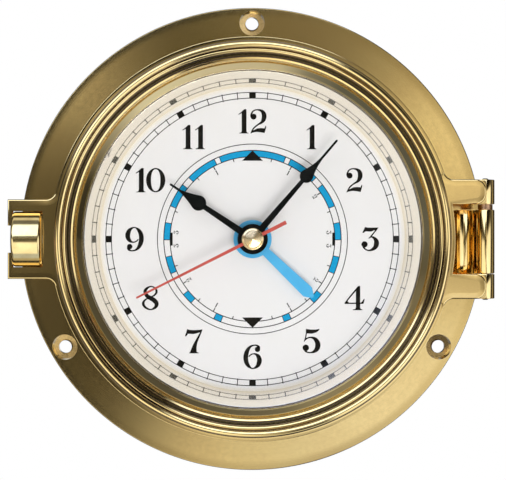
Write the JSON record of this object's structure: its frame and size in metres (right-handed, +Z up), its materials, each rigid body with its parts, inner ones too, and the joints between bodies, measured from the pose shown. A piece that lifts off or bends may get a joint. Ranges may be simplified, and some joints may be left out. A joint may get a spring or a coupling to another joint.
{
  "type": "tide clock",
  "caption": "Round wall clock for time and tide in a brass porthole case, with a hinged glass door held by a thumb-nut latch.",
  "frame": {"origin": "centre of the three wall holes, on the back face that lies on the wall", "axes": "+Z up, +X to the viewer's right, +Y into the wall; the dial faces -Y"},
  "size_m": [0.1513, 0.0404, 0.15],
  "materials": {
    "lacquered_brass_case": "polished and lacquered cast brass",
    "lacquered_brass_door": "polished and lacquered cast brass",
    "pin_brass": "turned brass rod",
    "washer_bronze": "bronze washer",
    "gasket_rubber": "black rubber",
    "clear_glass": "clear flat glass",
    "turned_brass": "turned brass",
    "polished_brass": "mirror polished brass",
    "pin_steel": "turned steel",
    "mirror_brass": "spun, pale polished brass",
    "dial_white": "satin white enamel paint on brass, printed",
    "screw_steel": "plated steel",
    "magnet_dark": "ring magnet on a moulded pinion",
    "gear_white": "moulded acetal",
    "gear_brass": "cut brass",
    "knob_plastic": "moulded black plastic",
    "plate_plastic": "moulded plate",
    "stator_steel": "soft iron sheet",
    "bobbin_plastic": "moulded bobbin",
    "winding_copper": "enamelled copper wire",
    "board_green": "glass epoxy board",
    "crystal_can": "drawn steel can",
    "shell_plastic": "moulded black plastic with fine texture",
    "cell_jacket": "plain printed jacket",
    "contact_spring": "nickel plated spring strip",
    "bush_brass": "turned, threaded brass",
    "tide_blue": "light blue gloss paint",
    "hand_black": "black satin paint",
    "second_red": "red paint",
    "cap_brass": "turned brass"
  },
  "bodies": {
    "root": {"case_body": "lacquered_brass_case", "hinge_washer": "washer_bronze", "reflector_ring": "mirror_brass", "dial_plate": "dial_white", "dial_screws": "screw_steel", "train_plate": "plate_plastic", "stator": "stator_steel", "coil_core": "stator_steel", "stator_screws": "screw_steel", "coil_bobbin": "bobbin_plastic", "coil_winding": "winding_copper", "circuit_board": "board_green", "quartz_crystal": "crystal_can", "movement_back_shell": "shell_plastic", "movement_front_shell": "shell_plastic", "movement_screws": "screw_steel", "battery": "cell_jacket", "battery_contacts": "contact_spring", "shaft_bush": "bush_brass", "dial_washer": "gasket_rubber", "bush_washer": "turned_brass", "bush_nut": "bush_brass"},
    "door": {"door_ring": "lacquered_brass_door", "hinge_pin": "pin_brass", "glass_gasket": "gasket_rubber", "glass": "clear_glass", "glass_retaining_ring": "turned_brass"},
    "latch_nut_body": {"latch_nut": "polished_brass"},
    "latch_pin_body": {"latch_pin": "pin_steel"},
    "second_body": {"second_wheel": "gear_white", "second_hand": "second_red", "hub_cap": "cap_brass"},
    "rotor_body": {"rotor": "magnet_dark"},
    "intermediate_body": {"intermediate_wheel": "gear_white"},
    "third_body": {"third_wheel": "gear_white"},
    "centre_body": {"centre_wheel": "gear_brass"},
    "minute_body": {"minute_tube": "gear_brass", "minute_hand": "hand_black"},
    "motion_body": {"motion_wheel": "gear_white"},
    "hour_body": {"hour_wheel": "gear_white", "hour_hand": "hand_black"},
    "tide_idler_body": {"tide_idler": "gear_white"},
    "tide_body": {"tide_wheel": "gear_white", "tide_hand": "tide_blue"},
    "setting_body": {"setting_knob": "knob_plastic"}
  },
  "joints": [
    {"name": "door_swing", "type": "hinge", "parent": "root", "child": "door", "pos_m": [0.0726, -0.028, 0], "axis": [0, 0, 1], "range_deg": [0, 120]},
    {"name": "latch_turn", "type": "hinge", "parent": "door", "child": "latch_nut_body", "pos_m": [-0.06975, -0.0306, 0], "axis": [1, 0, 0], "range_deg": [0, 720]},
    {"name": "latch_slide", "type": "slide", "parent": "door", "child": "latch_pin_body", "axis": [1, 0, 0], "range_m": [0, 0.0025]},
    {"name": "second_turn", "type": "hinge", "parent": "root", "child": "second_body", "pos_m": [0, -0.01, 0], "axis": [0, 1, 0], "continuous": true},
    {"name": "rotor_turn", "type": "hinge", "parent": "root", "child": "rotor_body", "pos_m": [-0.00511, -0.01, 0.01404], "axis": [0, 1, 0], "continuous": true},
    {"name": "intermediate_turn", "type": "hinge", "parent": "root", "child": "intermediate_body", "pos_m": [-0.00296, -0.01, 0.00812], "axis": [0, 1, 0], "continuous": true},
    {"name": "third_turn", "type": "hinge", "parent": "root", "child": "third_body", "pos_m": [0.00727, -0.01, 0.0042], "axis": [0, 1, 0], "continuous": true},
    {"name": "centre_turn", "type": "hinge", "parent": "root", "child": "centre_body", "pos_m": [0, -0.01, 0], "axis": [0, 1, 0], "continuous": true},
    {"name": "minute_turn", "type": "hinge", "parent": "root", "child": "minute_body", "pos_m": [0, -0.01, 0], "axis": [0, 1, 0], "continuous": true},
    {"name": "motion_turn", "type": "hinge", "parent": "root", "child": "motion_body", "pos_m": [-0.00693, -0.01, 0.004], "axis": [0, 1, 0], "continuous": true},
    {"name": "hour_turn", "type": "hinge", "parent": "root", "child": "hour_body", "pos_m": [0, -0.01, 0], "axis": [0, 1, 0], "continuous": true},
    {"name": "tide_idler_turn", "type": "hinge", "parent": "root", "child": "tide_idler_body", "pos_m": [0.00643, -0.01, -0.0054], "axis": [0, 1, 0], "continuous": true},
    {"name": "tide_turn", "type": "hinge", "parent": "root", "child": "tide_body", "pos_m": [0, -0.01, 0], "axis": [0, 1, 0], "continuous": true},
    {"name": "setting_turn", "type": "hinge", "parent": "root", "child": "setting_body", "pos_m": [-0.01493, -0.01, 0.004], "axis": [0, 1, 0], "continuous": true}
  ],
  "couplings": [
    {"joint": "latch_slide", "follows": "latch_turn", "m_per_rad": 0.00019894},
    {"joint": "rotor_turn", "follows": "second_turn", "ratio": 30},
    {"joint": "intermediate_turn", "follows": "second_turn", "ratio": -5},
    {"joint": "third_turn", "follows": "second_turn", "ratio": -0.13333},
    {"joint": "centre_turn", "follows": "second_turn", "ratio": 0.016667},
    {"joint": "motion_turn", "follows": "minute_turn", "ratio": -0.33333},
    {"joint": "hour_turn", "follows": "minute_turn", "ratio": 0.083333},
    {"joint": "tide_idler_turn", "follows": "minute_turn", "ratio": -0.086957},
    {"joint": "tide_turn", "follows": "minute_turn", "ratio": 0.080515},
    {"joint": "setting_turn", "follows": "minute_turn", "ratio": 1}
  ]
}
